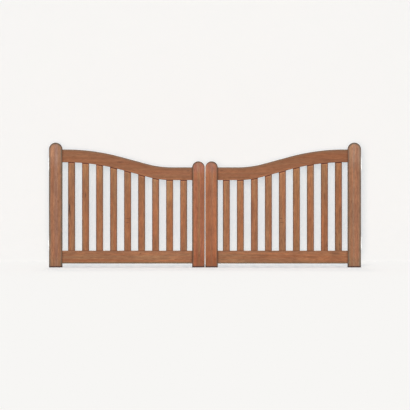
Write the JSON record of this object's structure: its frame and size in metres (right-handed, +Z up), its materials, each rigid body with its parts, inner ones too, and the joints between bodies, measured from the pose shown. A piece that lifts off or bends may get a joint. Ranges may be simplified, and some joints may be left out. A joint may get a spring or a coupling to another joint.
{
  "type": "double garden gate",
  "caption": "Pair of slatted hardwood garden gate leaves with a curved top rail, on butt hinges, with drop bolts behind.",
  "frame": {"origin": "on the ground plane at the stiles' feet, in the middle of the slit between the leaves, and in the middle of the whole depth from the stiles' front to the bolt knobs", "axes": "+X to the right along the pair's width seen from the front, +Y towards the back, where the leaves open to, +Z up"},
  "size_m": [2.513, 0.0826, 1],
  "materials": {
    "stile_wood": "oiled hardwood, semi-matt",
    "rail_wood": "oiled hardwood, semi-matt",
    "slat_wood": "oiled hardwood, semi-matt",
    "peg_wood": "oiled hardwood, semi-matt",
    "hinge_steel": "brushed stainless steel",
    "bolt_steel": "zinc plated steel, dull",
    "screw_steel": "stainless steel"
  },
  "bodies": {
    "post_side": {"left_upper_post_plate": "hinge_steel", "left_upper_hinge_pin": "hinge_steel", "left_lower_post_plate": "hinge_steel", "left_lower_hinge_pin": "hinge_steel", "right_upper_post_plate": "hinge_steel", "right_upper_hinge_pin": "hinge_steel", "right_lower_post_plate": "hinge_steel", "right_lower_hinge_pin": "hinge_steel"},
    "left_leaf": {"left_hinge_stile": "stile_wood", "left_meeting_stile": "stile_wood", "left_top_rail": "rail_wood", "left_bottom_rail": "rail_wood", "left_slat_1": "slat_wood", "left_slat_2": "slat_wood", "left_slat_3": "slat_wood", "left_slat_4": "slat_wood", "left_slat_5": "slat_wood", "left_slat_6": "slat_wood", "left_slat_7": "slat_wood", "left_slat_8": "slat_wood", "left_slat_9": "slat_wood", "left_tenon_pegs": "peg_wood", "left_bolt_plate": "bolt_steel", "left_bolt_screws": "screw_steel", "left_upper_gate_plate": "hinge_steel", "left_upper_hinge_screws": "screw_steel", "left_lower_gate_plate": "hinge_steel", "left_lower_hinge_screws": "screw_steel"},
    "left_drop_bolt": {"left_bolt_rod": "bolt_steel", "left_bolt_knob": "bolt_steel"},
    "right_leaf": {"right_hinge_stile": "stile_wood", "right_meeting_stile": "stile_wood", "right_top_rail": "rail_wood", "right_bottom_rail": "rail_wood", "right_slat_1": "slat_wood", "right_slat_2": "slat_wood", "right_slat_3": "slat_wood", "right_slat_4": "slat_wood", "right_slat_5": "slat_wood", "right_slat_6": "slat_wood", "right_slat_7": "slat_wood", "right_slat_8": "slat_wood", "right_slat_9": "slat_wood", "right_tenon_pegs": "peg_wood", "right_bolt_plate": "bolt_steel", "right_bolt_screws": "screw_steel", "right_upper_gate_plate": "hinge_steel", "right_upper_hinge_screws": "screw_steel", "right_lower_gate_plate": "hinge_steel", "right_lower_hinge_screws": "screw_steel"},
    "right_drop_bolt": {"right_bolt_rod": "bolt_steel", "right_bolt_knob": "bolt_steel"}
  },
  "joints": [
    {"name": "left_leaf_swing", "type": "hinge", "parent": "post_side", "child": "left_leaf", "pos_m": [-1.2505, 0.01025, 0.51], "axis": [0, 0, 1], "range_deg": [0, 170]},
    {"name": "left_bolt_slide", "type": "slide", "parent": "left_leaf", "child": "left_drop_bolt", "axis": [0, 0, -1], "range_m": [0, 0.075]},
    {"name": "right_leaf_swing", "type": "hinge", "parent": "post_side", "child": "right_leaf", "pos_m": [1.2505, 0.01025, 0.51], "axis": [0, 0, -1], "range_deg": [0, 170]},
    {"name": "right_bolt_slide", "type": "slide", "parent": "right_leaf", "child": "right_drop_bolt", "axis": [0, 0, -1], "range_m": [0, 0.075]}
  ]
}
